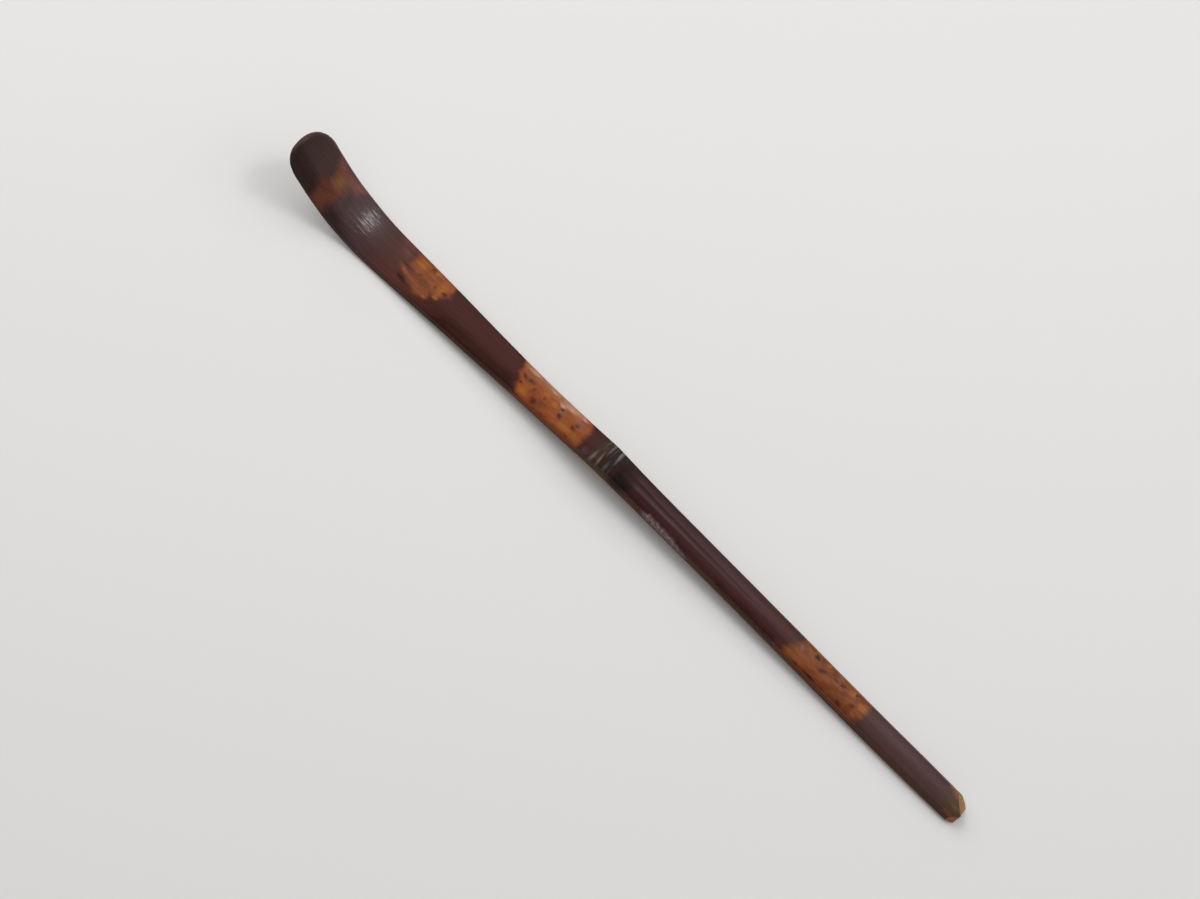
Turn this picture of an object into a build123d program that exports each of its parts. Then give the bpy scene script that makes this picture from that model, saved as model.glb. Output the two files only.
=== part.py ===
from build123d import *
import math
import os

# Tea scoop carved from one strip of spotted bamboo, heated and bent up at the tip.
# The scoop lies on its back, as it would on a table. X runs from the foot to the tip,
# Y runs across it and Z is up. While it is built, the foot end is at X = 0 and the table
# is at Z = 0. At the end it is moved so that its bounding box stands centred on the origin.
# All lengths are in millimetres and all angles in degrees.

# Lengths along the scoop
handle_length = 96.15      # foot end to the middle of the node
neck_length = 59.25        # middle of the node to the start of the bend
bend_radius = 24.0         # of the back, where the tip is bent up
bend_angle = 43.5          # between the tip and the table
tip_length = 11.0          # straight stretch between the bend and the tip end

# Widths, measured where the sides stand out most
foot_width = 5.9
handle_width = 6.3
node_width = 6.8
bend_width = 9.7
tip_width = 10.75

# Thicknesses, from the back to the top of the crown
foot_thickness = 2.9
handle_thickness = 3.1
node_thickness = 4.0
bend_thickness = 2.0
tip_thickness = 1.15

# How far the outer skin rises from its edges to the middle, because the culm was round
handle_crown = 0.34
bowl_crown = 0.5

# Sides and back, carved with a knife
handle_side_lean = 0.72    # how far each side leans in, from its widest place to the skin
bowl_side_lean = 0.35
back_bevel_width = 0.55    # flat bevel between the back and each side
side_height_share = 0.3    # height of the widest place, as a share of the thickness

# The back above the table
node_lift = 2.95           # under the node
rest_depth = 0.1           # worn flat off the back where it touches the table

# Outer skin of the culm and its groove below the node
skin_thickness = 0.45
groove_length = 44.0       # from the node to where it fades out
groove_depth = 0.1         # at the node
groove_radius = 3.0

# The node: a band of sheath scars and low ridges that crosses the skin at a slant
node_band_length = 5.5
node_band_slant = 7.0      # its right end lies nearer the foot
node_ridge_height = 0.22
diaphragm_radius = 0.95    # stub of the cross wall, half round, let into the back
diaphragm_relief = 0.12    # how far it stands out of the back

# Rounded end of the tip
tip_round_length = 6.2
tip_point_offset = 0.5     # the foremost point lies this far to the left of the middle
tip_left_fullness_share = 0.70
tip_right_fullness_share = 0.60

# Flat facets cut at the two corners of the foot
right_facet_run = 3.2      # along the edge of the skin
right_facet_reach = 3.1    # across the foot's end, from the edge of the skin
right_back_run = 1.3       # along the side, at the table
left_facet_run = 1.4
left_facet_reach = 1.05
left_back_run = 1.3

# How far every cutting body runs past what it cuts
overrun = 1.0

# Cross sections, chosen by hand. Places are shares of the stretch that they lie in, and the
# other columns say how far a size has changed there from its first value to its last.
handle_shares = (
    # place, lift of the back, swelling towards the node
    (0.0, 0.0, 0.0),
    (0.125, 0.0, 0.0),
    (0.25, 0.03, 0.0),
    (0.375, 0.2, 0.0),
    (0.5, 0.43, 0.0),
    (0.625, 0.61, 0.03),
    (0.75, 0.74, 0.1),
    (0.875, 0.87, 0.32),
    (1.0, 1.0, 1.0),
)
neck_shares = (
    # place, lift of the back, widening and thinning towards the bend
    (0.0, 1.0, 0.0, 0.0),
    (0.125, 0.76, 0.0, 0.22),
    (0.25, 0.54, 0.03, 0.35),
    (0.375, 0.41, 0.12, 0.47),
    (0.5, 0.33, 0.28, 0.6),
    (0.625, 0.27, 0.46, 0.7),
    (0.75, 0.19, 0.65, 0.8),
    (0.875, 0.08, 0.83, 0.9),
    (1.0, 0.0, 1.0, 1.0),
)
bowl_shares = (
    # turn of the bend, run of the straight tip, widening and thinning towards the tip end
    (0.25, 0.0, 0.29, 0.2),
    (0.5, 0.0, 0.57, 0.4),
    (0.75, 0.0, 0.79, 0.58),
    (1.0, 0.0, 0.86, 0.72),
    (1.0, 0.5, 0.95, 0.86),
    (1.0, 1.0, 1.0, 1.0),
)

# Ridges of the node band: place along the band and height, as shares of the band's length
# and of the ridge height
node_relief_shares = (
    (0.0, 0.1), (0.09, 0.15), (0.18, 1.0), (0.26, 0.2), (0.34, 0.8), (0.44, 0.15), (0.54, 1.0),
    (0.59, 0.3), (0.65, 0.75), (0.71, 0.2), (0.77, 0.5), (0.83, 0.15), (0.89, 0.45), (1.0, 0.1),
)


def blend(first, last, share):
    """Value at a share of the way from the first to the last."""
    return first + (last - first) * share


class Section:
    """One cross section of the strip: where it stands and its sizes."""

    def __init__(self, x, back, pitch, width, thickness, crown, lean):
        self.x = x
        self.back = back
        self.pitch = pitch
        self.width = width
        self.thickness = thickness
        self.crown = crown
        self.lean = lean

    def plane(self, slant=0.0):
        """Plane of the section, square across the path or with its right end nearer the foot."""
        pitch = math.radians(self.pitch)
        turn = math.radians(slant)
        return Plane(
            origin=(self.x, 0, self.back),
            x_dir=(math.sin(turn), math.cos(turn), 0),
            z_dir=(math.cos(pitch) * math.cos(turn), -math.cos(pitch) * math.sin(turn), math.sin(pitch)),
        )

    def skin_half_width(self):
        return self.width / 2 - self.lean

    def shoulder_height(self):
        return self.thickness * side_height_share

    def edge_height(self):
        """Height of the edge of the skin above the back."""
        return self.thickness - self.crown

    def crown_drop(self, distance):
        """How far the crown has fallen at a distance from the middle."""
        half = self.skin_half_width()
        radius = (half**2 + self.crown**2) / (2 * self.crown)
        return radius - math.sqrt(radius**2 - distance**2)

    def strip(self, rise=0.0, relief=0.0, slant=0.0):
        """Carved outline, with its crown raised by a rise and its back lowered by a relief."""
        side = self.width / 2
        shoulder = self.shoulder_height()
        top = self.edge_height() + rise
        edge = self.skin_half_width() - self.lean * rise / (self.edge_height() - shoulder)
        flat = side - back_bevel_width
        outline = [
            Line((-flat, -relief), (flat, -relief)),
            Line((flat, -relief), (side, shoulder)),
            Line((side, shoulder), (edge, top)),
            ThreePointArc((edge, top), (0, self.thickness + rise), (-edge, top)),
            Line((-edge, top), (-side, shoulder)),
            Line((-side, shoulder), (-flat, -relief)),
        ]
        return self.plane(slant) * make_face(outline)

    def under_skin(self):
        """Outline of all that lies below the inner face of the skin, wider than the strip."""
        side = self.width / 2 + overrun
        top = self.thickness - skin_thickness
        edge = top - self.crown_drop(side)
        outline = [
            Line((-side, -overrun), (side, -overrun)),
            Line((side, -overrun), (side, edge)),
            ThreePointArc((side, edge), (0, top), (-side, edge)),
            Line((-side, edge), (-side, -overrun)),
        ]
        return self.plane() * make_face(outline)


def handle_sections():
    sections = []
    for place, lift, swell in handle_shares:
        at_foot = place == 0
        sections.append(
            Section(
                x=handle_length * place,
                back=blend(-rest_depth, node_lift, lift),
                pitch=0,
                width=foot_width if at_foot else blend(handle_width, node_width, swell),
                thickness=foot_thickness if at_foot else blend(handle_thickness, node_thickness, swell),
                crown=handle_crown,
                lean=handle_side_lean,
            )
        )
    return sections


def neck_sections():
    sections = []
    for place, lift, widen, thin in neck_shares:
        sections.append(
            Section(
                x=handle_length + neck_length * place,
                back=blend(-rest_depth, node_lift, lift),
                pitch=0,
                width=blend(node_width, bend_width, widen),
                thickness=blend(node_thickness, bend_thickness, thin),
                crown=blend(handle_crown, bowl_crown, thin),
                lean=blend(handle_side_lean, bowl_side_lean, thin),
            )
        )
    return sections


def bowl_point(turn, run):
    """Place of the back after a turn round the bend and a straight run."""
    angle = math.radians(turn)
    x = handle_length + neck_length + bend_radius * math.sin(angle) + run * math.cos(angle)
    z = -rest_depth + bend_radius * (1 - math.cos(angle)) + run * math.sin(angle)
    return x, z


def bowl_sections():
    sections = []
    for turn, run, widen, thin in bowl_shares:
        x, z = bowl_point(bend_angle * turn, tip_length * run)
        sections.append(
            Section(
                x=x,
                back=z,
                pitch=bend_angle * turn,
                width=blend(bend_width, tip_width, widen),
                thickness=blend(bend_thickness, tip_thickness, thin),
                crown=bowl_crown,
                lean=bowl_side_lean,
            )
        )
    return sections


def section_at(x):
    """Section at any place of the handle or neck, in a straight line between its neighbours."""
    known = handle_sections() + neck_sections()[1:]
    for left, right in zip(known, known[1:]):
        if x <= right.x:
            share = (x - left.x) / (right.x - left.x)
            return Section(
                x=x,
                back=blend(left.back, right.back, share),
                pitch=0,
                width=blend(left.width, right.width, share),
                thickness=blend(left.thickness, right.thickness, share),
                crown=blend(left.crown, right.crown, share),
                lean=blend(left.lean, right.lean, share),
            )
    return known[-1]


def loft_strip(outline):
    """Handle and blade lofted apart, so that the strip keeps its natural kink at the node."""
    handle = loft([outline(section) for section in handle_sections()])
    blade = loft([outline(section) for section in neck_sections() + bowl_sections()])
    return handle + blade


def groove_bar(drop):
    """Round bar that fills the groove, lowered by a drop and grown by as much."""
    deep_x = handle_length - node_band_length / 2
    shallow_x = deep_x - groove_length
    deep_section = section_at(deep_x)
    shallow_section = section_at(shallow_x)
    radius = groove_radius + drop
    deep = Vector(deep_x, 0, deep_section.back + deep_section.thickness - groove_depth - drop)
    shallow = Vector(shallow_x, 0, shallow_section.back + shallow_section.thickness - drop)
    bar_plane = Plane(
        origin=deep + Vector(0, 0, radius),
        x_dir=(0, 1, 0),
        z_dir=shallow - deep,
    )
    return extrude(bar_plane * Circle(radius), groove_length + overrun)


def rounded_tip():
    """Prism square to the tip, whose rounded end trims the corners off the blade."""
    x, z = bowl_point(bend_angle, tip_length)
    pitch = math.radians(bend_angle)
    plane = Plane(
        origin=(x, 0, z),
        x_dir=(math.cos(pitch), 0, math.sin(pitch)),
        z_dir=(-math.sin(pitch), 0, math.cos(pitch)),
    )
    side = tip_width / 2
    wide = side + overrun
    back_end = -(tip_length + bend_radius)
    outline = [
        Bezier(
            (-tip_round_length, side),
            (-tip_round_length * (1 - tip_left_fullness_share), side),
            (0, blend(tip_point_offset, side, tip_left_fullness_share)),
            (0, tip_point_offset),
        ),
        Bezier(
            (0, tip_point_offset),
            (0, blend(tip_point_offset, -side, tip_right_fullness_share)),
            (-tip_round_length * (1 - tip_right_fullness_share), -side),
            (-tip_round_length, -side),
        ),
        Polyline(
            (-tip_round_length, -side),
            (-tip_round_length, -wide),
            (back_end, -wide),
            (back_end, wide),
            (-tip_round_length, wide),
            (-tip_round_length, side),
        ),
    ]
    return extrude(plane * make_face(outline), bend_radius, both=True)


def trim_tip(strip):
    """Strip with its tip rounded, and all that lies behind the tip left as it is."""
    x, _ = bowl_point(bend_angle, 0)
    reach = 2 * (handle_length + neck_length)
    behind = Pos(x - reach / 2, 0, 0) * Box(reach, reach, reach)
    return strip & (rounded_tip() + behind)


def corner_cutter(edge_point, end_point, back_point):
    """Block whose flat face passes through three points of a corner of the foot."""
    along = end_point - edge_point
    outward = along.cross(back_point - edge_point)
    if outward.Z < 0:
        outward = outward * -1
    face = Plane(origin=edge_point, x_dir=along, z_dir=outward)
    return extrude(face * Rectangle(4 * foot_width, 4 * foot_width), 2 * foot_width)


def foot_cutters():
    """Blocks that cut the right and the left facet."""
    foot = handle_sections()[0]
    edge = foot.skin_half_width()
    side = foot.width / 2
    edge_z = foot.back + foot.edge_height()
    top_z = foot.back + foot.thickness
    right = corner_cutter(
        Vector(right_facet_run, -edge, edge_z),
        Vector(0, right_facet_reach - edge, top_z),
        Vector(right_back_run, -side, 0),
    )
    left = corner_cutter(
        Vector(left_facet_run, edge, edge_z),
        Vector(0, edge - left_facet_reach, top_z),
        Vector(left_back_run, side, 0),
    )
    return right, left


def below_table():
    """Everything under the table's surface."""
    reach = handle_length + neck_length
    return Pos(reach / 2, 0, -reach) * Box(4 * reach, reach, 2 * reach)


def band_block():
    """Slanted block that cuts the node band out of the skin."""
    block = Box(node_band_length, 2 * node_width, 4 * node_thickness)
    return Pos(handle_length, 0, node_lift) * Rot(Z=-node_band_slant) * block


def node_band(under):
    """Ridged band of tissue that lies on the wood between the two lengths of skin."""
    start = handle_length - node_band_length / 2
    outlines = []
    for place, height in node_relief_shares:
        section = section_at(start + node_band_length * place)
        outlines.append(section.strip(rise=node_ridge_height * height, slant=node_band_slant))
    return loft(outlines, ruled=True) - under


def wall_stub_bar():
    """Round bar across the back that holds the stub of the cross wall."""
    node = neck_sections()[0]
    bar_plane = Plane(origin=(node.x, -node_width, node.back), x_dir=(1, 0, 0), z_dir=(0, 1, 0))
    return extrude(bar_plane * Circle(diaphragm_radius), 2 * node_width)


def wall_stub():
    """Stub of the cross wall, half round, standing a little out of the back."""
    reach = diaphragm_radius + overrun
    places = (handle_length - reach, handle_length, handle_length + reach)
    outlines = [section_at(x).strip(relief=diaphragm_relief) for x in places]
    return loft(outlines, ruled=True) & wall_stub_bar()


def build():
    """All pieces of the scoop by name, in the place where they are carved."""
    strip = trim_tip(loft_strip(lambda section: section.strip()))
    for cutter in foot_cutters():
        strip -= cutter
    strip -= below_table()
    strip -= groove_bar(0)
    under = loft_strip(lambda section: section.under_skin()) - groove_bar(skin_thickness)
    skins = (strip - under - band_block()).solids().sort_by(Axis.X)
    return {
        "culm_flesh": (strip & under) - wall_stub_bar(),
        "handle_skin": skins[0],
        "bowl_skin": skins[-1],
        "node_ridge": node_band(under),
        "node_cross_wall": wall_stub(),
    }


pieces = build()
box = Compound(list(pieces.values())).bounding_box()
shift = Pos(-box.center().X, -box.center().Y, -box.min.Z)
os.makedirs("parts", exist_ok=True)
for name, piece in pieces.items():
    export_step(shift * piece, f"parts/{name}.step")
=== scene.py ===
import bmesh
import bpy
import functools
import math
from mathutils import Matrix, Vector, noise


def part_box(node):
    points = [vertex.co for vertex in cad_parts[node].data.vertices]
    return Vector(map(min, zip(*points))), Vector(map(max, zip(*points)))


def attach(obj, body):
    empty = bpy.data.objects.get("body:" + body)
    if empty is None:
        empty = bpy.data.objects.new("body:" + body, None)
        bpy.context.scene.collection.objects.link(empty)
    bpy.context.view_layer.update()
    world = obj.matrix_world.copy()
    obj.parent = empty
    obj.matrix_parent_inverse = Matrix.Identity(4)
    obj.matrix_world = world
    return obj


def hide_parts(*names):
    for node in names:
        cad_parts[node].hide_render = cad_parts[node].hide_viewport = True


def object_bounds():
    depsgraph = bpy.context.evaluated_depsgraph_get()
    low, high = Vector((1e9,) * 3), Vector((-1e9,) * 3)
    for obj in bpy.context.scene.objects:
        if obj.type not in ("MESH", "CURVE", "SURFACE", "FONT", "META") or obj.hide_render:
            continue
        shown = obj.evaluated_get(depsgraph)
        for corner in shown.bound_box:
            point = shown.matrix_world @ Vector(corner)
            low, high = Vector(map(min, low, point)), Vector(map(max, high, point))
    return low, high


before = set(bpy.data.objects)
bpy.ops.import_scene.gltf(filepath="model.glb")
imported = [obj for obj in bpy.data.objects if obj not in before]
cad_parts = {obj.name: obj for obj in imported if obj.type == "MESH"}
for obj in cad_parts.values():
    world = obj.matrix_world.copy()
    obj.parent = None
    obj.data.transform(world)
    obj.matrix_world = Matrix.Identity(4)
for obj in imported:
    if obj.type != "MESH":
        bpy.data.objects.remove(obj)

# Tea scoop of spotted bamboo, lying on its back on a pale table. X runs from the foot to the tip,
# Y runs across to the left and Z is up. Sizes are in metres, and MM makes metres of millimetres.
MM = 0.001
cad_low, cad_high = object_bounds()
band_low, band_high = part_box("node_ridge")

# Lengths along the path of the back, from the foot
foot_x = cad_low.x
node_along = (band_low.x + band_high.x) / 2 - foot_x
bend_along = node_along + 59.25 * MM
bend_radius = 24 * MM
bend_angle = math.radians(43.5)
tip_along = bend_along + bend_radius * bend_angle
tip_x = foot_x + bend_along + bend_radius * math.sin(bend_angle)

# Widths and thicknesses from the foot to the tip
foot_width, handle_width, node_width = 5.9 * MM, 6.3 * MM, 6.8 * MM
bend_width, tip_width = 9.7 * MM, 10.75 * MM
foot_thickness, handle_thickness, node_thickness = 2.9 * MM, 3.1 * MM, 4.0 * MM
bend_thickness, tip_thickness = 2.0 * MM, 1.15 * MM
handle_crown, bowl_crown = 0.34 * MM, 0.5 * MM
handle_lean, bowl_lean = 0.72 * MM, 0.35 * MM

# Carved sides and back
back_bevel = 0.55 * MM
shoulder_share = 0.3           # height of the widest place, as a share of the thickness
node_lift = 2.95 * MM
rest_depth = 0.1 * MM
knife_depth = 0.07 * MM        # how far the flats left by the knife stand in
knife_stroke = 9 * MM

# The widest place of the tip's rim reaches as far as the frame does
rim_back = tip_thickness * shoulder_share * math.sin(bend_angle)
end_along = tip_along + (cad_high.x - tip_x + rim_back) / math.cos(bend_angle)

# Rind, its groove and the band of the node
rind_thickness = 0.45 * MM
groove_length = 44 * MM
groove_depth = 0.1 * MM
groove_radius = 3.0 * MM
hollow_length = 3.2 * MM       # shallow hollow before the node, on the left
hollow_depth = 0.15 * MM
edge_round = 0.3 * MM          # edge of the rind, worn round
band_length = 5.5 * MM
band_slant = math.tan(math.radians(7))
ridge_height = 0.22 * MM
ridge_wander = 0.2             # millimetres
wall_radius = 0.95 * MM
wall_relief = 0.12 * MM
wall_arris = 0.4 * wall_relief  # its worn edges

# Points nearer than this are one point, and faces that meet at more than this make a sharp edge
weld = MM / 1000
sharp_angle = math.radians(38)

# Rounded end of the tip
round_length = 6.2 * MM
point_offset = 0.5 * MM
left_fullness, right_fullness = 0.70, 0.60

# Facets at the corners of the foot: run along the rind's edge, reach across the end, run along the back
right_facet = (3.2 * MM, 3.1 * MM, 1.3 * MM)
left_facet = (1.4 * MM, 1.05 * MM, 1.3 * MM)

# Shares of each stretch of the strip, as it is carved
handle_shares = (
    # place, lift of the back, swelling towards the node
    (0.0, 0.0, 0.0),
    (0.125, 0.0, 0.0),
    (0.25, 0.03, 0.0),
    (0.375, 0.2, 0.0),
    (0.5, 0.43, 0.0),
    (0.625, 0.61, 0.03),
    (0.75, 0.74, 0.1),
    (0.875, 0.87, 0.32),
    (1.0, 1.0, 1.0),
)
neck_shares = (
    # place, lift of the back, widening and thinning towards the bend
    (0.0, 1.0, 0.0, 0.0),
    (0.125, 0.76, 0.0, 0.22),
    (0.25, 0.54, 0.03, 0.35),
    (0.375, 0.41, 0.12, 0.47),
    (0.5, 0.33, 0.28, 0.6),
    (0.625, 0.27, 0.46, 0.7),
    (0.75, 0.19, 0.65, 0.8),
    (0.875, 0.08, 0.83, 0.9),
    (1.0, 0.0, 1.0, 1.0),
)
bowl_shares = (
    # turn of the bend, run of the straight tip, widening and thinning towards the tip's end
    (0.25, 0.0, 0.29, 0.2),
    (0.5, 0.0, 0.57, 0.4),
    (0.75, 0.0, 0.79, 0.58),
    (1.0, 0.0, 0.86, 0.72),
    (1.0, 0.5, 0.95, 0.86),
    (1.0, 1.0, 1.0, 1.0),
)
scar_ridges = (
    # where a ridge starts and ends, along from the middle of the node and across, in millimetres, its
    # breadth, its share of the full height and its colour
    ((-1.45, -7), (-1.9, 0.8), 0.34, 1.0, "#675c5e"),
    ((-1.95, 1.4), (-2.2, 7), 0.24, 0.35, "#44342d"),
    ((-0.95, 0.5), (-0.95, 7), 0.34, 0.7, "#4b4746"),
    ((-0.55, -7), (-0.45, 0.6), 0.18, 0.3, "#3f3434"),
    ((0.05, -7), (0.38, 0.2), 0.24, 0.9, "#625753"),
    ((0.95, 0), (0.45, 7), 0.26, 0.85, "#6a5649"),
    ((1.35, -7), (1.65, 0.3), 0.22, 0.4, "#493b2d"),
    ((1.95, -1.2), (1.75, 2.4), 0.22, 0.3, "#3c2d25"),
    ((2.1, 0.4), (2.55, 7), 0.32, 0.5, "#6b5954"),
)

# Colours of the rind along the strip, in millimetres from the foot. The darkest stop, at 92 mm, is painted
# shade in the hollow before the node
rind_browns = (
    (0, "#4c3826"), (6, "#4a332f"), (24, "#4b332f"), (50, "#44211e"), (66, "#3e2120"), (88, "#351817"),
    (92, "#2c1b17"), (100, "#3d1c17"), (125, "#431f19"), (140, "#401f19"), (151, "#532f29"),
    (157, "#472f2c"), (165, "#4a3436"), (178, "#493633"), (185, "#3e302b"),
)

# Paler and darker patches of the rind: corners along and across, width of the frayed edge, two mottled
# colours, and how far the patch reaches down the sides
rind_patches = (
    # Painted shade: darker along the left side, which faces away from the light, and darkest in the hollow
    # before the node
    (((48.5, 0.7), (67, 1.1), (64, 5), (48, 5)), 1.4, "#361a16", "#301814", 1.2),
    (((88, 0.2), (93.6, -0.6), (93.6, 5), (89, 5)), 1.8, "#170c0a", "#1b0f0c", 2.4),
    (((119, 0.4), (131, 0.6), (138.5, 1), (142.5, 6), (118, 6)), 1.6, "#33160f", "#371912", 1.2),
    (((159.5, 3.8), (165.5, 1.6), (186, -0.6), (186, 7), (157, 7)), 2.8, "#362624", "#32211f", 0.8),
    # Foot
    (((-1, -0.4), (3, -1.2), (4.2, 0.4), (3.6, 1.8), (-1, 2)), 1.4, "#5b4330", "#463222", 0),
    (((1.8, -4), (5.9, -4), (5.9, -1.6), (3.6, -0.6), (2.2, -0.8)), 1.2, "#7f5734", "#7a4f36", 1.4),
    (((1.2, 1.4), (3.8, 1.5), (3.6, 2.6), (1.6, 2.8)), 0.9, "#74452f", "#6b3f2a", 0),
    # Handle
    (((25.8, -4), (45, -4), (46.8, 0.3), (49.2, 4), (26.8, 4), (25.6, -0.3)), 1.5, "#7f4723", "#6d371d", 3),
    # Past the node
    (((101.5, -4.5), (123.4, -4.5), (121.8, -1.2), (119.7, 2), (118.8, 5), (101.3, 5)), 1.3, "#8b4a1f",
     "#834021", 3),
    # Painted reflection: a pale pinkish haze over the right of this patch, where its gloss catches the
    # light
    (((102.5, -4.5), (122.4, -4.5), (120.6, -1.6), (112, -1), (105, -0.8)), 1.8, "#96654c", "#a3745c", 0),
    # Before the bend
    (((139, -6), (150.6, -6), (150.8, -0.4), (147, 1.2), (141.3, 1.5), (139, -1)), 1.9, "#884826",
     "#7a4124", 2),
    (((141.8, -0.3), (152.6, -0.3), (151.8, 1), (145.8, 3.2), (142.6, 2.8)), 1.4, "#7f472b", "#854a2e", 0),
    (((150, -6), (156, -6), (154, -1), (150.4, -0.6)), 1.5, "#613a31", "#553330", 0),
    # Tip
    (((164.6, -6), (178.2, -6), (175.4, -1.2), (166.8, -1.2)), 2.8, "#794b42", "#7f4f43", 1),
    (((167.6, -2.8), (175.4, -2.8), (176.6, 1.5), (175.2, 7), (169.6, 7)), 2.4, "#683b2c", "#5e3529", 1),
)

# Spots of the rind: colour, softness and places along and across, with length, width and turn
rind_spots = (
    # Golden and orange
    ("#965a24", 1.0, (
        (27.8, -0.6, 3, 2.6, 0), (30.7, -1.4, 3.4, 2.2, 20), (37.6, -2, 2.2, 1.2, 0),
        (141.9, -1.7, 2.8, 5.6, 0), (147.9, -2.6, 4, 3, 0), (144.6, -3.4, 1.8, 1.5, 0),
        (141.8, 0.5, 2, 1.4, 20), (106.5, 1.8, 5, 3, 0), (110.6, -0.4, 3, 1.6, 0),
        (116.9, 2, 3.4, 3.2, 0), (112.8, -0.7, 2.2, 1.6, 0),
    )),
    ("#83572f", 1.0, ((34.3, -2.1, 3.8, 1.8, 0), (103.6, 1.9, 2, 2.2, 0))),
    ("#934e2c", 1.0, (
        (149.8, 0.7, 3, 1.1, -12), (140.6, -3, 1.4, 1.8, 0), (143.6, 1.9, 1.8, 1, 10),
        (102.7, 2.9, 2.2, 1.8, 0), (109.7, 1.3, 2.6, 2, 0), (108.8, 2.7, 2.4, 1.5, 0),
        (115.4, 3.2, 3, 1.4, 0),
    )),
    ("#864a2b", 1.0, (
        (43, 1, 6, 3.4, 0), (42.8, -1.6, 2.6, 1.6, 0), (36.5, 0.4, 4.4, 1.6, 0),
        (28.5, 1.8, 2.4, 1.8, 0),
    )),
    # Painted highlight: pale pinkish streaks of gloss near the right edge, past the node
    ("#b38872", 1.0, (
        (107.6, -2, 5, 1.8, 8), (109.4, -1.4, 2.8, 1.4, -20), (104.2, -2.3, 2.4, 1, 0),
        (112.4, -2.3, 3.6, 1.1, 4), (117.4, -2.4, 4.6, 0.9, 0),
    )),
    ("#8a5c42", 1.0, (
        (110.4, -2.2, 1.2, 1.6, 25), (113, -1.7, 1.4, 1.4, -15), (116, -1.7, 1.6, 1, 10),
    )),
    ("#80553b", 1.0, ((172.2, -1.4, 6.4, 5.6, 12),)),
    ("#74473f", 1.0, ((169.6, -3.7, 5, 2.6, 0),)),
    ("#40322c", 1.0, ((167.8, 0.2, 3, 4, 0), (4.6, 0.4, 1.6, 1.4, 0))),
    ("#76503f", 1.0, (
        (144.6, -2.2, 1.7, 1.8, 0), (44.1, -0.7, 1.4, 1.8, 0), (104.1, -0.8, 3.2, 2.2, 10),
        (108.4, 0.2, 2.8, 2.8, 0), (118.4, -1.5, 2.4, 1.5, 0),
    )),
    ("#683921", 1.0, (
        (145.4, 0.2, 4.6, 3, 0), (112.7, 1.6, 3.6, 3, 0), (32.6, 1.5, 5, 2.2, 0), (113.4, 3.1, 2, 1, 0),
    )),
    # Painted highlight: a paler streak along the edge of the groove, where it catches the light
    ("#482c2a", 1.0, ((79, 0.45, 24, 0.9, 0),)),
    # Purplish above the left edge, past the band
    ("#523a3b", 1.0, ((100.2, 2.8, 2.8, 3.4, 0),)),
    # Dark
    ("#4e2016", 0.9, (
        (33.4, -1, 3.4, 1, 12), (35.3, -0.9, 3, 1, -12), (38.2, -0.3, 3, 1, 30),
        (29.6, 0.4, 1.7, 1.6, 0), (30, -1.7, 1.2, 1, 0), (32, 2.1, 3.4, 0.9, 0),
        (104.8, 0.8, 2, 1.3, 0), (108.8, -0.6, 1.2, 1.2, 0), (108.4, 0.7, 1.9, 1.4, 0),
        (114.2, 2, 2.4, 2.2, 0), (118.5, -0.5, 2, 1.2, 0), (118.5, 1, 1.2, 1.1, 0),
        (140.9, -1.1, 1.8, 1.5, 0), (145.8, -3.4, 1.5, 1.1, 0), (150.3, -0.4, 2.2, 1, 0),
    )),
    ("#5a3216", 1.0, (
        (104.7, 2.8, 2.3, 1, -35), (115.5, 0.4, 1.4, 1.7, 0), (143.2, -0.9, 1.5, 1.3, 0),
        (147, -0.7, 1.6, 1.4, 0), (142.9, 0.7, 2.6, 0.9, 0), (44.9, 2.8, 1.4, 0.6, 0),
        (112.7, 0.2, 1.3, 1.1, 0), (111.2, 3, 1.6, 1, 0),
    )),
    ("#3d2c1e", 1.0, ((104.5, -0.1, 2.2, 1.3, 0), (117, -0.5, 2.4, 1.7, 0))),
    ("#2d1712", 1.0, (
        (40.6, -1.4, 1.9, 1.8, -20), (39.5, 2.45, 5.4, 0.9, 0), (42.8, 2.7, 4.8, 0.8, 0),
        (149.4, 2.3, 4.4, 1.2, -12),
    )),
)


def blend(first, last, share):
    """Value at a share of the way from the first to the last."""
    return first + (last - first) * share


def ramp(start, end, place):
    """Share that rises smoothly from 0 at the start to 1 at the end."""
    share = min(max((place - start) / (end - start), 0), 1)
    return share * share * (3 - 2 * share)


def between(rows, place):
    """Values of the columns at a place, on a smooth curve through the rows. A row starts with its place."""
    at = max(index for index, row in enumerate(rows[:-1]) if index == 0 or row[0] <= place)
    before, after = rows[max(at - 1, 0)], rows[min(at + 2, len(rows) - 1)]
    here, there = rows[at], rows[at + 1]
    step = there[0] - here[0]
    share = (place - here[0]) / step
    values = []
    for column in range(1, len(here)):
        leave = (there[column] - before[column]) / (there[0] - before[0]) * step
        arrive = (after[column] - here[column]) / (after[0] - here[0]) * step
        change = there[column] - here[column]
        bow = share * (1 - share) * ((leave - change) * (1 - share) - (arrive - change) * share)
        values.append(here[column] + change * share + bow)
    return values


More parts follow.
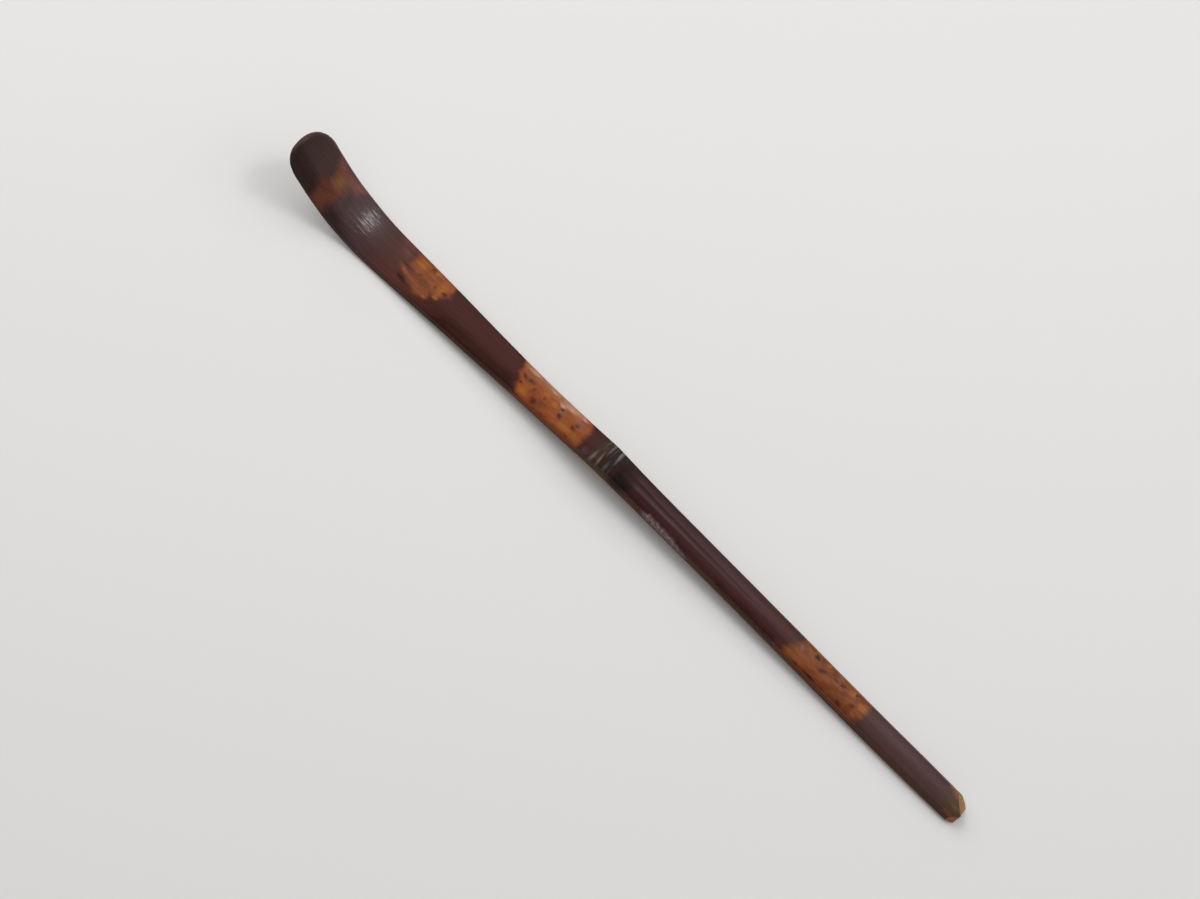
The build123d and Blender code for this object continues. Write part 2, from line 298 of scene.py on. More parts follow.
# Rows of sizes: place along the path, lift of the back, width, thickness, crown and lean of the sides
handle_rows = [
    (
        node_along * place,
        lift,
        blend(handle_width, node_width, swell) if place else foot_width,
        blend(handle_thickness, node_thickness, swell) if place else foot_thickness,
        handle_crown,
        handle_lean,
    )
    for place, lift, swell in handle_shares
]
blade_rows = [
    (
        blend(node_along, bend_along, place),
        lift,
        blend(node_width, bend_width, widen),
        blend(node_thickness, bend_thickness, thin),
        blend(handle_crown, bowl_crown, thin),
        blend(handle_lean, bowl_lean, thin),
    )
    for place, lift, widen, thin in neck_shares
] + [
    (
        bend_along + (tip_along - bend_along) * turn + (end_along - tip_along) * run,
        0.0,
        blend(bend_width, tip_width, widen),
        blend(bend_thickness, tip_thickness, thin),
        bowl_crown,
        bowl_lean,
    )
    for turn, run, widen, thin in bowl_shares
]


@functools.cache
def sizes(along):
    """Lift, width, thickness, crown and lean at a place along the path."""
    return between(handle_rows if along < node_along else blade_rows, along)


def on_path(along, across, height):
    """Point in space at a place along the back, across it and at a height above it."""
    turn = min(max((along - bend_along) / bend_radius, 0), bend_angle)
    run = max(along - tip_along, 0)
    lift = sizes(along)[0] if along < bend_along else 0
    x = foot_x + min(along, bend_along) + bend_radius * math.sin(turn) + run * math.cos(turn)
    z = (node_lift + rest_depth) * lift - rest_depth
    z += bend_radius * (1 - math.cos(turn)) + run * math.sin(turn)
    return Vector((x - height * math.sin(turn), across, max(z + height * math.cos(turn), 0)))


def top_height(along, across):
    """Height of the rind's face above the back, with its crown and its groove."""
    _, width, thickness, crown, lean = sizes(along)
    half = width / 2 - lean
    round_of_culm = (half**2 + crown**2) / (2 * crown)
    height = thickness - round_of_culm + math.sqrt(round_of_culm**2 - across**2)
    from_node = node_along - band_length / 2 - along
    if 0 < from_node < groove_length and abs(across) < groove_radius:
        depth = groove_depth * (1 - from_node / groove_length)
        height -= max(depth - groove_radius + math.sqrt(groove_radius**2 - across**2), 0)
    hollow = ramp(hollow_length, 0.3 * hollow_length, from_node) * ramp(-band_length / 8, 0, from_node)
    return height - hollow_depth * hollow * ramp(-0.1 * width, 0.2 * width, across)


def bezier(points, share):
    """Point on the curve that these points pull, and the direction of the curve there."""
    while len(points) > 2:
        points = [here.lerp(there, share) for here, there in zip(points, points[1:])]
    start, end = points
    return start.lerp(end, share), (end - start).normalized()


# Levels of the outline, from the face of the rind down to the back
CREST, ROUND_HIGH, ROUND_LOW, EDGE, RIND_SIDE, SEAM, FLESH_SIDE, BACK = range(8)
round_shares = {CREST: (1.0, 0.0), ROUND_HIGH: (0.45, 0.15), ROUND_LOW: (0.12, 0.5), EDGE: (0.0, 1.0)}


def level_height(level, top, along):
    """Height of a level above the back, where the rind's face is at the height of top."""
    if level in round_shares:
        return top - edge_round * round_shares[level][1]
    shoulder = sizes(along)[2] * shoulder_share
    seam = top - rind_thickness
    rind_side = max(shoulder, blend(seam, top, 0.15))
    return {RIND_SIDE: rind_side, SEAM: seam, FLESH_SIDE: min(shoulder, 0.75 * seam), BACK: 0}[level]


def carved_in(level, edge, along, side):
    """How far a level stands in from the widest outline. The edge of the rind is at the height of edge."""
    _, _, thickness, _, lean = sizes(along)
    shoulder = thickness * shoulder_share
    height = level_height(level, edge, along)
    if level in round_shares:
        flat = edge_round * round_shares[level][0]
    else:
        stroke = noise.noise(Vector((along / knife_stroke, 5 * side, height / knife_stroke)))
        flat = knife_depth * (0.5 + 0.5 * stroke)
    if height >= shoulder:
        return lean * (height - shoulder) / (edge - shoulder) + flat
    return back_bevel * (1 - height / shoulder) + flat


class Stretch:
    """A stretch of the strip, between two places along it. Its ends are square or slanted, or its
    far end is the rounded tip. Every point of it has a share along it, from 0 to 1, and a share
    across it, from -1 on the right to 1 on the left."""

    def __init__(self, start, end, start_slant=0, end_slant=0, rounded=False):
        self.start, self.end = start, end
        self.start_slant, self.end_slant = start_slant, end_slant
        self.straight = 1
        if rounded:
            self.end = end - round_length
            self.straight = (self.end - start) / (end - start)

    def edge_point(self, share, side, level):
        """Point of the outline at a level, as a vector of the places along and across."""
        if share <= self.straight:
            along = blend(self.start, self.end, share / self.straight)
            half = sizes(along)[1] / 2
            slant = blend(self.start_slant, self.end_slant, share / self.straight)
            base, inward = Vector((along + side * half * slant, side * half)), Vector((0, -side))
        else:
            base, inward = self.round_point(share, side)
        _, _, _, _, lean = sizes(base.x)
        crest = base + inward * lean
        return base + inward * carved_in(level, top_height(*crest), base.x, base.y / node_width)

    def round_point(self, share, side):
        """Widest outline of the rounded tip, with its inward direction."""
        half = sizes(self.end)[1] / 2
        sign = 1 if side >= 0 else -1
        fullness = left_fullness if side >= 0 else right_fullness
        tip = self.end + round_length
        pulls = [
            Vector((self.end, sign * half)),
            Vector((self.end + round_length * fullness, sign * half)),
            Vector((tip, blend(point_offset, sign * half, fullness))),
            Vector((tip, point_offset)),
        ]
        if share < 1:
            place = 0.5 * (share - self.straight) / (1 - self.straight)
        else:
            place = 1 - 0.5 * abs(side)
        point, forward = bezier(pulls, place)
        return point, Vector((-forward.y, forward.x)) * -sign

    def plan(self, share, side, level):
        """Any point of the sheet that a level's outline bounds."""
        right, left = self.edge_point(share, -1, level), self.edge_point(share, 1, level)
        to_left = (side + 1) / 2
        point = right.lerp(left, to_left)
        if share > self.straight:
            forward = (share - self.straight) / (1 - self.straight)
            start = [self.edge_point(self.straight, turn, level) for turn in (-1, 1)]
            end = [self.edge_point(1, turn, level) for turn in (-1, 1)]
            point += start[0].lerp(start[1], to_left).lerp(self.edge_point(1, side, level), forward)
            point -= start[0].lerp(start[1], to_left).lerp(end[0].lerp(end[1], to_left), forward)
        return point


def lay(bm, vertices, stretch, level, relief=None):
    """Puts vertices at a level of the stretch, and writes where they are in the bamboo: millimetres
    along it, across it and below its rind, and above its back."""
    place, grain = bm.verts.layers.float_vector["place"], bm.verts.layers.float_vector["grain"]
    above_back = bm.verts.layers.float["above_back"]
    for vertex in vertices:
        share, side = vertex[place].xy
        along, across = stretch.plan(share, side, level)
        top = top_height(along, across)
        height = level_height(level, top, along)
        if relief and level == CREST:
            height += relief(along, across)
        vertex.co = on_path(along, across, height)
        vertex[grain] = Vector((along, across, top - height)) / MM
        vertex[above_back] = height / MM


def carve(stretch, levels, rows, columns, relief=None):
    """Closed solid between the first and the last level of a stretch."""
    bm = bmesh.new()
    place = bm.verts.layers.float_vector.new("place")
    bm.verts.layers.float_vector.new("grain")
    bm.verts.layers.float.new("above_back")
    for level in (levels[-1], levels[0]):
        # A flat sheet, laid at the last level and then at the first
        sheet = bmesh.ops.create_grid(bm, x_segments=rows, y_segments=columns, size=1)["verts"]
        for vertex in sheet:
            vertex[place] = Vector(((vertex.co.x + 1) / 2, vertex.co.y, 0))
        lay(bm, sheet, stretch, level, relief)
    rim = [edge for vertex in sheet for edge in vertex.link_edges if edge.is_boundary]
    rim = list(dict.fromkeys(rim))
    for level in levels[1:]:
        wall = bmesh.ops.extrude_edge_only(bm, edges=rim)["geom"]
        rim = [part for part in wall if isinstance(part, bmesh.types.BMEdge)]
        lay(bm, [part for part in wall if isinstance(part, bmesh.types.BMVert)], stretch, level)
    bmesh.ops.remove_doubles(bm, verts=bm.verts, dist=weld)
    bmesh.ops.recalc_face_normals(bm, faces=bm.faces)
    return bm


def shave(bm, point, outward):
    """Cuts off what lies outside a plane, and closes the cut with a face of fresh wood."""
    cut = bmesh.ops.bisect_plane(
        bm, geom=bm.verts[:] + bm.edges[:] + bm.faces[:], dist=weld / 10,
        plane_co=point, plane_no=outward.normalized(), clear_outer=True,
    )["geom_cut"]
    edges = [part for part in cut if isinstance(part, bmesh.types.BMEdge)]
    for face in bmesh.ops.holes_fill(bm, edges=edges, sides=0)["faces"]:
        face.material_index = 1


def cut_foot(bm):
    """Cuts the two facets at the corners of the foot."""
    _, width, thickness, crown, lean = sizes(0)
    half = width / 2 - lean
    for side, (edge_run, reach, back_run) in ((-1, right_facet), (1, left_facet)):
        edge = on_path(edge_run, side * half, thickness - crown)
        end = on_path(0, side * (half - reach), thickness)
        low = on_path(back_run, side * width / 2, rest_depth)
        outward = (end - edge).cross(low - edge)
        shave(bm, edge, outward if outward.z > 0 else -outward)


def piece(name, bm, node, materials):
    """Object of a mesh that stands for a node and takes its finish from a slot."""
    mesh = bpy.data.meshes.new(name)
    bm.to_mesh(mesh)
    bm.free()
    for face in mesh.polygons:
        face.use_smooth = True
    mesh.set_sharp_from_angle(angle=sharp_angle)
    for material in materials:
        mesh.materials.append(material)
    made = bpy.data.objects.new(name, mesh)
    bpy.context.scene.collection.objects.link(made)
    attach(made, "root")
    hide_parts(node)
    return made


# Heights of the finest relief, which only the light shows
rib_height = 0.012 * MM
ripple_height = 0.14 * MM
strand_height = 0.02 * MM
scar_roughness = 0.06 * MM


def colour(code):
    """Linear colour of an sRGB hex code."""
    parts = [int(code[place:place + 2], 16) / 255 for place in (1, 3, 5)]
    return [part / 12.92 if part <= 0.04045 else ((part + 0.055) / 1.055) ** 2.4 for part in parts] + [1]


def add(tree, kind, inputs, **settings):
    """Adds a node with its settings and links, and gives its outputs."""
    made = tree.nodes.new("ShaderNode" + kind)
    for name, value in settings.items():
        setattr(made, name, value)
    for socket, value in inputs.items():
        if isinstance(value, bpy.types.NodeSocket):
            tree.links.new(value, made.inputs[socket])
        else:
            made.inputs[socket].default_value = value
    return made.outputs


def finish(name):
    """New material, with its tree and its shader."""
    material = bpy.data.materials.new(name)
    material.use_nodes = True
    return material, material.node_tree, material.node_tree.nodes["Principled BSDF"]


def bamboo_grain(tree):
    """Millimetres along the strip, across it and below its rind."""
    return add(tree, "Attribute", {}, attribute_name="grain")["Vector"]


def unsteady(tree, grain, scale, reach):
    """The grain, shifted this way and that by up to half the reach."""
    drawn = add(tree, "Mapping", {"Vector": grain, "Scale": scale})["Vector"]
    shift = add(tree, "TexNoise", {"Vector": drawn, "Scale": 1.0, "Detail": 2.0})["Color"]
    shift = add(tree, "VectorMath", {0: shift, 1: (0.5, 0.5, 0.5)}, operation="SUBTRACT")["Vector"]
    return add(tree, "VectorMath", {0: shift, 1: reach, 2: grain}, operation="MULTIPLY_ADD")["Vector"]


def fibres(tree, grain):
    """Fibres that run lengthwise, drawn about 0.3 mm wide so that they show."""
    thin = add(tree, "Mapping", {"Vector": grain, "Scale": (0.05, 3.2, 3.2)})["Vector"]
    return add(tree, "TexNoise", {"Vector": thin, "Scale": 1.0, "Detail": 4.0})["Fac"]


def patch(tree, place, corners, soft):
    """Mask of a patch between its corners, which lie along and across the strip in millimetres."""
    corners = [Vector((*corner, 0)) for corner in corners]
    middle = sum(corners, Vector()) / len(corners)
    depth = soft
    for start, end in zip(corners, corners[1:] + corners[:1]):
        inward = (end - start).cross(Vector((0, 0, 1))).normalized()
        inward *= math.copysign(1, inward.dot(middle - start))
        reach = add(tree, "VectorMath", {0: place, 1: inward}, operation="DOT_PRODUCT")["Value"]
        reach = add(tree, "Math", {0: reach, 1: inward.dot(start)}, operation="SUBTRACT")["Value"]
        depth = add(tree, "Math", {0: depth, 1: reach}, operation="MINIMUM")["Value"]
    mask = {"Value": depth, "From Max": soft}
    return add(tree, "MapRange", mask, interpolation_type="SMOOTHSTEP")["Result"]


def spots(tree, place, soft, places):
    """Mask of oval spots, each with its place along and across, length, width and turn."""
    flat = add(tree, "VectorMath", {0: place, 1: (1, 1, 0)}, operation="MULTIPLY")["Vector"]
    mask = 0.0
    for along, across, length, width, turn in places:
        oval = {
            "Vector": flat,
            "Location": (along, across, 0),
            "Rotation": (0, 0, math.radians(turn)),
            "Scale": (length / 2, width / 2, 1),
        }
        oval = add(tree, "Mapping", oval, vector_type="TEXTURE")["Vector"]
        oval = add(tree, "TexGradient", {"Vector": oval}, gradient_type="SPHERICAL")["Fac"]
        mask = add(tree, "Math", {0: mask, 1: oval}, operation="MAXIMUM")["Value"]
    mask = {"Value": mask, "From Max": soft}
    return add(tree, "MapRange", mask, interpolation_type="SMOOTHSTEP")["Result"]


def laid_over(tree, under, layers):
    """Colours laid over each other, each where its mask is and before the next mask is made, because a
    material can't hold many masks at a time."""
    for mask, over in layers:
        under = add(tree, "Mix", {0: mask, 6: under, 7: over}, data_type="RGBA")[2]
    return under


def scuffed(tree, grain):
    """Mask and colour of whitish scuffs that slant over the left edge, before the node."""
    parts = add(tree, "SeparateXYZ", {"Vector": grain})
    over_edge = add(tree, "Math", {0: parts["Y"], 1: parts["Z"]}, operation="ADD")["Value"]
    over_edge = add(tree, "CombineXYZ", {"X": parts["X"], "Y": over_edge})["Vector"]
    slanted = {"Vector": over_edge, "Rotation": (0, 0, math.radians(-45)), "Scale": (1.5, 4.5, 1)}
    slanted = add(tree, "Mapping", slanted)["Vector"]
    lines = add(tree, "TexNoise", {"Vector": slanted, "Scale": 1.0, "Detail": 4.0})["Fac"]
    lines = add(tree, "MapRange", {"Value": lines, "From Min": 0.39, "From Max": 0.6})["Result"]
    zone = patch(tree, over_edge, ((71, 3.7), (76, 2), (83, 1.8), (85, 3), (84, 5.3), (72, 5.2)), 1.3)
    return add(tree, "Math", {0: lines, 1: zone}, operation="MULTIPLY")["Value"], colour("#a3938d")


def scarred(tree, grain):
    """Masks and colours of the worn ridges of the node."""
    wobbly = unsteady(tree, grain, (0.4, 0.8, 0.8), (0.5, 0, 0))
    for start, end, breadth, _, code in scar_ridges:
        run = Vector(end) - Vector(start)
        place = (Vector(start) + Vector(end)) / 2
        turn = math.degrees(math.atan2(-run.x, run.y))
        oval = (node_along / MM + place.x, place.y, 3 * breadth, 1.2 * run.y, turn)
        yield spots(tree, wobbly, 0.6, (oval,)), colour(code)


def rind_marks(tree, grain, frayed):
    """Masks and colours of the rind's patches, spots and scuffs."""
    cloud = add(tree, "Mapping", {"Vector": grain, "Scale": (0.35, 0.8, 0.8)})["Vector"]
    cloud = add(tree, "TexNoise", {"Vector": cloud, "Scale": 1.0, "Detail": 3.0})["Fac"]
    mottle = add(tree, "MapRange", {"Value": cloud, "From Min": 0.42, "From Max": 0.58})["Result"]
    for corners, soft, code, second, _ in rind_patches:
        two = add(tree, "Mix", {0: mottle, 6: colour(code), 7: colour(second)}, data_type="RGBA")[2]
        yield patch(tree, frayed, corners, soft), two
    wavy = unsteady(tree, grain, (0.6, 0.9, 0.9), (1.6, 1, 0))
    for code, soft, places in rind_spots:
        yield spots(tree, wavy, soft, places), colour(code)
    yield scuffed(tree, grain)


def rind_finish():
    """Rind of a spotted bamboo, browned by smoke and polished by hands: nearly black brown with red in
    it, with orange patches where it stayed paler, dark spots, a soft gloss and fine ribs lengthwise."""
    material, tree, shader = finish("smoked_spotted_bamboo_rind")
    grain = bamboo_grain(tree)
    frayed = unsteady(tree, grain, (0.3, 0.5, 0.5), (2.2, 1.4, 0))
    along = add(tree, "SeparateXYZ", {"Vector": frayed})["X"]
    browns = add(tree, "Math", {0: along, 1: end_along / MM}, operation="DIVIDE")["Value"]
    browns = add(tree, "ValToRGB", {"Fac": browns})["Color"]
    stops = browns.node.color_ramp.elements
    stops.remove(stops[1])
    for place, code in rind_browns:
        stop = stops.new(place * MM / end_along) if place else stops[0]
        stop.color = colour(code)
    painted = laid_over(tree, browns, rind_marks(tree, grain, frayed))

    # Paler where the knife cut its edge, and made paler still as painted light, so that the sides, which
    # get little light, look as lit as the face
    depth = add(tree, "SeparateXYZ", {"Vector": grain})["Z"]
    cut = {"Value": depth, "From Min": 0.25, "From Max": 0.45, "To Min": 1.0, "To Max": 1.7}
    cut = add(tree, "MapRange", cut)["Result"]
    ribs = fibres(tree, grain)
    rib_light = {"Value": ribs, "From Min": 0.3, "From Max": 0.7, "To Min": 0.84, "To Max": 1.16}
    rib_light = add(tree, "MapRange", rib_light)["Result"]
    light = add(tree, "Math", {0: cut, 1: rib_light}, operation="MULTIPLY")["Value"]
    painted = add(tree, "HueSaturation", {"Color": painted, "Value": light})["Color"]
    tree.links.new(painted, shader.inputs["Base Color"])

    # Glossiest at the bend, and dull before the node
    polished = spots(tree, grain, 1.0, ((162, -1, 15, 18, 0),))
    gloss = add(tree, "Math", {0: polished, 1: 0.2, 2: 0.12}, operation="MULTIPLY_ADD")["Value"]
    tree.links.new(gloss, shader.inputs["Specular IOR Level"])
    polish = {"Value": along, "From Min": 125, "From Max": 152, "To Min": 0.34, "To Max": 0.17}
    polish = add(tree, "MapRange", polish)["Result"]
    dull = spots(tree, grain, 1.0, ((91.8, 0, 8, 12, 0),))
    rough = add(tree, "Math", {0: dull, 1: 0.4, 2: polish}, operation="MULTIPLY_ADD")["Value"]
    rough = add(tree, "Math", {0: rib_light, 1: rough}, operation="MULTIPLY")["Value"]
    tree.links.new(rough, shader.inputs["Roughness"])

    # Ribs, and ripples that are highest at the bend
    ripples = add(tree, "Mapping", {"Vector": grain, "Scale": (0.22, 1.35, 1.35)})["Vector"]
    ripples = add(tree, "TexNoise", {"Vector": ripples, "Scale": 1.0, "Detail": 2.0})["Fac"]
    steep = add(tree, "Math", {0: polished, 1: 0.8, 2: 0.2}, operation="MULTIPLY_ADD")["Value"]
    ripples = add(tree, "Math", {0: ripples, 1: steep}, operation="MULTIPLY")["Value"]
    bump = add(tree, "Bump", {"Height": ripples, "Distance": ripple_height})["Normal"]
    bump = add(tree, "Bump", {"Height": ribs, "Distance": rib_height, "Normal": bump})["Normal"]
    tree.links.new(bump, shader.inputs["Normal"])
    return material


def strands(tree, shader, grain, wood):
    """Cut wood of this colour, with lengthwise strands that are dots where a cut crosses them."""
    packed = add(tree, "Mapping", {"Vector": grain, "Scale": (0.02, 1.9, 2.4)})["Vector"]
    strand = add(tree, "TexVoronoi", {"Vector": packed, "Scale": 1.0})["Distance"]
    strand = {"Value": strand, "From Min": 0.18, "From Max": 0.34, "To Min": 0.62}
    strand = add(tree, "MapRange", strand, interpolation_type="SMOOTHSTEP")["Result"]
    light = {"Value": fibres(tree, grain), "From Min": 0.3, "From Max": 0.7, "To Min": 0.75, "To Max": 1.25}
    light = add(tree, "MapRange", light)["Result"]
    light = add(tree, "Math", {0: light, 1: strand}, operation="MULTIPLY")["Value"]
    wood = add(tree, "HueSaturation", {"Color": wood, "Value": light})["Color"]
    tree.links.new(wood, shader.inputs["Base Color"])
    shader.inputs["Roughness"].default_value = 0.7
    shader.inputs["Specular IOR Level"].default_value = 0.15
    bump = add(tree, "Bump", {"Height": light, "Distance": strand_height})["Normal"]
    tree.links.new(bump, shader.inputs["Normal"])


def side_marks(tree, grain, depth):
    """Masks and colours of what goes on from the rind down its sides, but not under the back."""
    above_back = add(tree, "Attribute", {}, attribute_name="above_back")["Fac"]
    side = {"Value": above_back, "From Min": 0.1, "From Max": 0.6, "To Max": 0.8}
    side = add(tree, "MapRange", side)["Result"]

    def reaching_down(mask, reach):
        shown = {"Value": depth, "From Min": reach, "From Max": 0.4 * reach, "To Max": side}
        shown = add(tree, "MapRange", shown)["Result"]
        return add(tree, "Math", {0: mask, 1: shown}, operation="MULTIPLY")["Value"]

    streaked = unsteady(tree, grain, (0.1, 0.5, 2.2), (10, 1.5, 0))
    for corners, soft, _, second, reach in rind_patches:
        if reach:
            yield reaching_down(patch(tree, streaked, corners, soft), reach), colour(second)
    for mask, shade in scarred(tree, grain):
        yield reaching_down(mask, 1.6), shade
    mask, shade = scuffed(tree, grain)
    yield reaching_down(mask, 2.2), shade


def flesh_finish():
    """Wood of the culm's wall, cut with a knife and browned by smoke, darkest under the rind. The
    patches, ridges and scuffs of the rind, with its painted shade along the left, reach down its
    sides in streaks."""
    material, tree, shader = finish("carved_bamboo_flesh")
    grain = bamboo_grain(tree)
    depth = add(tree, "SeparateXYZ", {"Vector": grain})["Z"]
    inner = add(tree, "MapRange", {"Value": depth, "From Min": 0.4, "From Max": 2.6})["Result"]
    # Partly painted light: the wood next to the rind is given a paler brown, so that the sides, which the
    # lamps hardly reach, look as lit as the face
    wood = add(tree, "Mix", {0: inner, 6: colour("#4a2f25"), 7: colour("#65462f")}, data_type="RGBA")[2]
    strands(tree, shader, grain, laid_over(tree, wood, side_marks(tree, grain, depth)))
    return material


def fresh_finish():
    """Wood of the foot's facets, cut later than the rest and so paler: golden on the right, where it
    darkens under the rind, and reddish on the left."""
    material, tree, shader = finish("fresh_cut_bamboo")
    grain = bamboo_grain(tree)
    parts = add(tree, "SeparateXYZ", {"Vector": grain})
    inner = add(tree, "MapRange", {"Value": parts["Z"], "From Min": 0.2, "From Max": 2.0})["Result"]
    wood = add(tree, "Mix", {0: inner, 6: colour("#9c7045"), 7: colour("#a87b4b")}, data_type="RGBA")[2]
    on_left = add(tree, "MapRange", {"Value": parts["Y"], "From Min": 0.4, "From Max": 1.0})["Result"]
    wood = add(tree, "Mix", {0: on_left, 6: wood, 7: colour("#a3624a")}, data_type="RGBA")[2]
    strands(tree, shader, grain, wood)
    return material


def membrane_finish():
    """Stub of the cross wall, shaved with the back: tangled pale fibres, darker towards its edges."""
    material, tree, shader = finish("shaved_cross_wall")
    grain = bamboo_grain(tree)
    tangle = add(tree, "Mapping", {"Vector": grain, "Scale": (3.5, 1.6, 3.5)})["Vector"]
    tangle = {"Vector": tangle, "Scale": 1.0, "Detail": 5.0, "Roughness": 0.6, "Distortion": 0.5}
    tangle = add(tree, "TexNoise", tangle)["Fac"]
    pale = add(tree, "MapRange", {"Value": tangle, "From Min": 0.35, "From Max": 0.65})["Result"]
    skin = add(tree, "Mix", {0: pale, 6: colour("#5c4535"), 7: colour("#7d5f45")}, data_type="RGBA")[2]
    core = spots(tree, grain, 0.4, ((node_along / MM, 0, 2.3, 40, 0),))
    skin = add(tree, "Mix", {0: core, 6: colour("#3d2a20"), 7: skin}, data_type="RGBA")[2]
    tree.links.new(skin, shader.inputs["Base Color"])
    shader.inputs["Roughness"].default_value = 0.75
    shader.inputs["Specular IOR Level"].default_value = 0.12
    bump = add(tree, "Bump", {"Height": tangle, "Distance": scar_roughness})["Normal"]
    tree.links.new(bump, shader.inputs["Normal"])
    return material


def scar_finish():
    """Scar of the sheath round the node: dull and rough, grey on the foot's side and brown on the tip's,
    with worn ridges that are paler."""
    material, tree, shader = finish("worn_sheath_scar")
    grain = bamboo_grain(tree)
    along = add(tree, "SeparateXYZ", {"Vector": unsteady(tree, grain, (0.4, 0.8, 0.8), (1, 0, 0))})["X"]
    middle = node_along / MM
    tipward = {"Value": along, "From Min": middle - 0.6, "From Max": middle + 0.8}
    tipward = add(tree, "MapRange", tipward)["Result"]
    skin = add(tree, "Mix", {0: tipward, 6: colour("#2a201f"), 7: colour("#3d2a22")}, data_type="RGBA")[2]
    between_ridges = spots(tree, grain, 1.0, ((middle + 0.2, 1.5, 1.4, 3.4, 0),))
    skin = laid_over(tree, skin, [(between_ridges, colour("#2c190d"))])
    skin = laid_over(tree, skin, scarred(tree, grain))
    stripes = add(tree, "Mapping", {"Vector": grain, "Scale": (2.6, 0.5, 1)})["Vector"]
    stripes = {"Vector": stripes, "Scale": 1.0, "Detail": 5.0, "Roughness": 0.65}
    stripes = add(tree, "TexNoise", stripes)["Fac"]
    light = {"Value": stripes, "From Min": 0.3, "From Max": 0.7, "To Min": 0.7, "To Max": 1.3}
    light = add(tree, "MapRange", light)["Result"]
    skin = add(tree, "HueSaturation", {"Color": skin, "Value": light})["Color"]
    tree.links.new(skin, shader.inputs["Base Color"])
    shader.inputs["Roughness"].default_value = 0.6
    shader.inputs["Specular IOR Level"].default_value = 0.12
    bump = add(tree, "Bump", {"Height": stripes, "Distance": scar_roughness})["Normal"]
    tree.links.new(bump, shader.inputs["Normal"])
    return material


def ridges(along, across):
    """Height of the ridges of the node band, which wander a little."""
    place = Vector((along - node_along, across)) / MM
    wander = ridge_wander * noise.noise(place.to_3d())
    height = 0
    for start, end, breadth, share, _ in scar_ridges:
        run = (place.y - start[1]) / (end[1] - start[1])
        reach = ramp(-0.1, 0.1, run) * ramp(1.1, 0.9, run)
        off = place.x + wander - blend(start[0], end[0], run)
        height = max(height, share * reach * math.exp(-((off / breadth) ** 2)))
    return ridge_height * height


half_band = band_length / 2
handle_stretch = Stretch(0, node_along - half_band, end_slant=band_slant)
band_stretch = Stretch(node_along - half_band, node_along + half_band, band_slant, band_slant)
bowl_stretch = Stretch(node_along + half_band, end_along, start_slant=band_slant, rounded=True)
whole_stretch = Stretch(0, end_along, rounded=True)

rind = rind_finish()
flesh = flesh_finish()
fresh = fresh_finish()
band = scar_finish()
membrane = membrane_finish()

rind_levels = (CREST, ROUND_HIGH, ROUND_LOW, EDGE, RIND_SIDE, SEAM)
solid = carve(handle_stretch, rind_levels, rows=150, columns=24)
cut_foot(solid)
piece("handle_rind", solid, "handle_skin", [rind, fresh])
solid = carve(bowl_stretch, rind_levels, rows=150, columns=32)
piece("bowl_rind", solid, "bowl_skin", [rind])
solid = carve(band_stretch, rind_levels, rows=110, columns=32, relief=ridges)
piece("scar_band", solid, "node_ridge", [band])
solid = carve(whole_stretch, (SEAM, FLESH_SIDE, BACK), rows=240, columns=24)
cut_foot(solid)
piece("carved_flesh", solid, "culm_flesh", [flesh, fresh])

# Stub of the cross wall: a round bar, cut flush with the sides of the strip and shaved nearly flush
# with its back
stub = bmesh.new()
grain = stub.verts.layers.float_vector.new("grain")
middle = on_path(node_along, 0, 0)
across_y = Matrix.Rotation(math.radians(90), 4, "X")
bmesh.ops.create_cone(
    stub, cap_ends=True, segments=32, radius1=wall_radius, radius2=wall_radius,
    depth=node_width, matrix=Matrix.Translation(middle) @ across_y,
)
shave(stub, middle - Vector((0, 0, wall_relief)), Vector((0, 0, -1)))
for side in (-1, 1):
    edge = side * (node_width / 2 - 2 * knife_depth)
    low = middle + Vector((0, edge - side * back_bevel, -wall_relief))
    high = middle + Vector((0, edge, node_thickness * shoulder_share))
    shave(stub, low, (high - low).cross(Vector((side, 0, 0))))
arris = [edge for edge in stub.edges if all(vertex.co.z < middle.z for vertex in edge.verts)]
bmesh.ops.bevel(stub, geom=arris, offset=wall_arris, segments=2, profile=0.5, affect="EDGES")
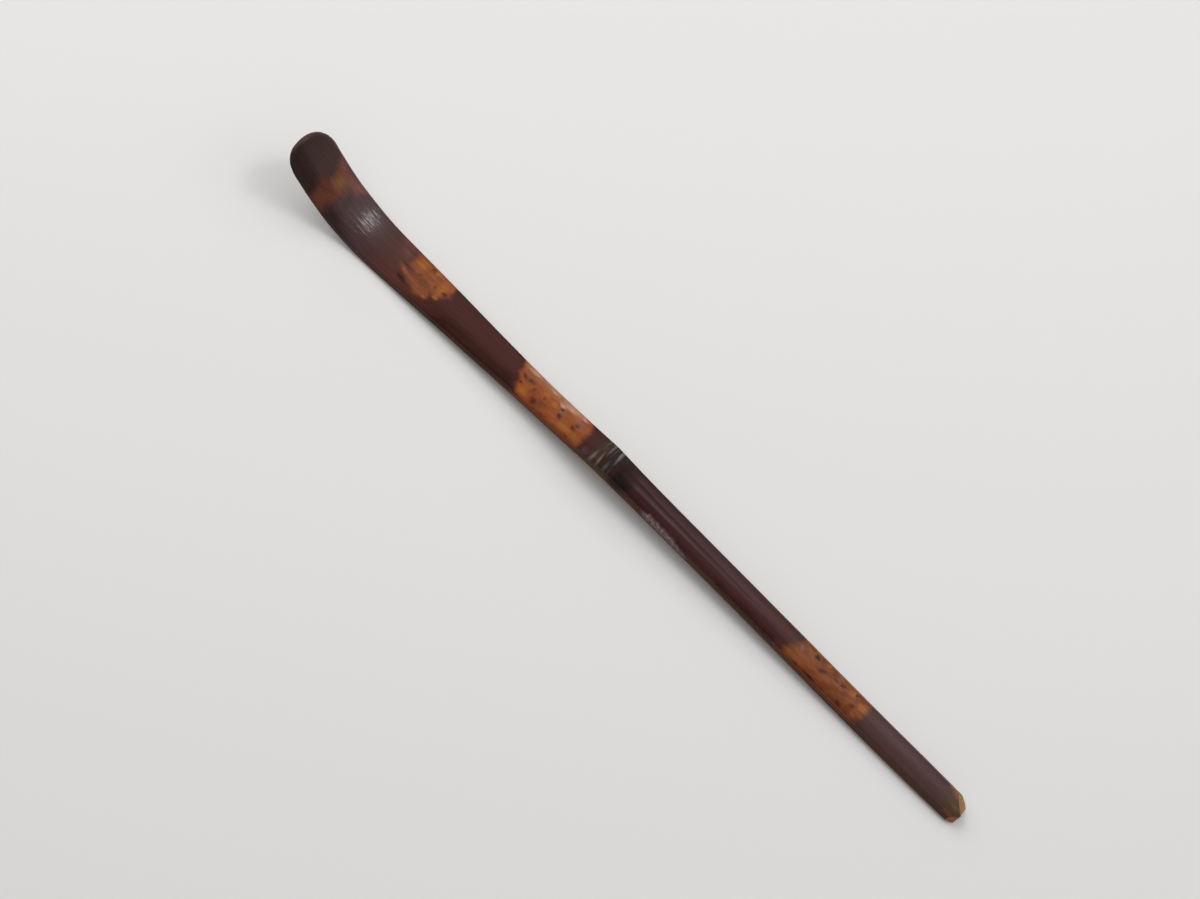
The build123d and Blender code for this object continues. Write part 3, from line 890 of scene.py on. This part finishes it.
for vertex in stub.verts:
    vertex[grain] = Vector((vertex.co.x - foot_x, vertex.co.y, vertex.co.z)) / MM
piece("wall_stub", stub, "node_cross_wall", [membrane, membrane])

# Pale table
table = bpy.data.materials.new("matt_table")
table.use_nodes = True
table_shader = table.node_tree.nodes["Principled BSDF"]
table_shader.inputs["Base Color"].default_value = colour("#e3e2e0")
table_shader.inputs["Roughness"].default_value = 0.9
bpy.ops.mesh.primitive_plane_add(size=4)
floor = bpy.context.object
floor.name = "table_top"
floor.data.materials.append(table)

# Light
world = bpy.data.worlds.new("room")
bpy.context.scene.world = world
world.use_nodes = True
world.node_tree.nodes["Background"].inputs["Color"].default_value = (1, 1, 1, 1)
world.node_tree.nodes["Background"].inputs["Strength"].default_value = 0.3


def softbox(name, place, size, power):
    """Lamp of this size that faces the scoop."""
    data = bpy.data.lights.new(name, "AREA")
    data.shape = "RECTANGLE"
    data.size, data.size_y = size
    data.energy = power
    lamp = bpy.data.objects.new(name, data)
    lamp.location = place
    lamp.rotation_mode = "QUATERNION"
    lamp.rotation_quaternion = Vector(place).to_track_quat("Z", "Y")
    bpy.context.scene.collection.objects.link(lamp)


softbox("window", (0, -0.424, 0.678), (2.0, 0.71), 4.15)
softbox("side_window", (0.613, -0.1, 0.514), (0.7, 0.7), 3.4)
softbox("lamp", (-0.086, -0.235, 0.5), (0.1, 0.13), 0.4)

# Camera, whose shifts are in pixels of a picture 1200 wide
picture_width = 1200
camera_data = bpy.data.cameras.new("camera")
camera_data.lens = 93.6
camera_data.sensor_width = 36
camera_data.shift_x = -23.25 / picture_width
camera_data.shift_y = 28.65 / picture_width
camera = bpy.data.objects.new("camera", camera_data)
right = Vector((-0.71247, -0.68003, 0.17305))
up = Vector((0.70065, -0.67594, 0.22846))
back = Vector((-0.03839, 0.28402, 0.95805))
turned = Matrix((right, up, back)).transposed().to_4x4()
camera.matrix_world = Matrix.Translation((-0.02158, 0.17041, 0.57783)) @ turned
bpy.context.scene.collection.objects.link(camera)
bpy.context.scene.camera = camera
bpy.context.scene.view_settings.view_transform = "Standard"
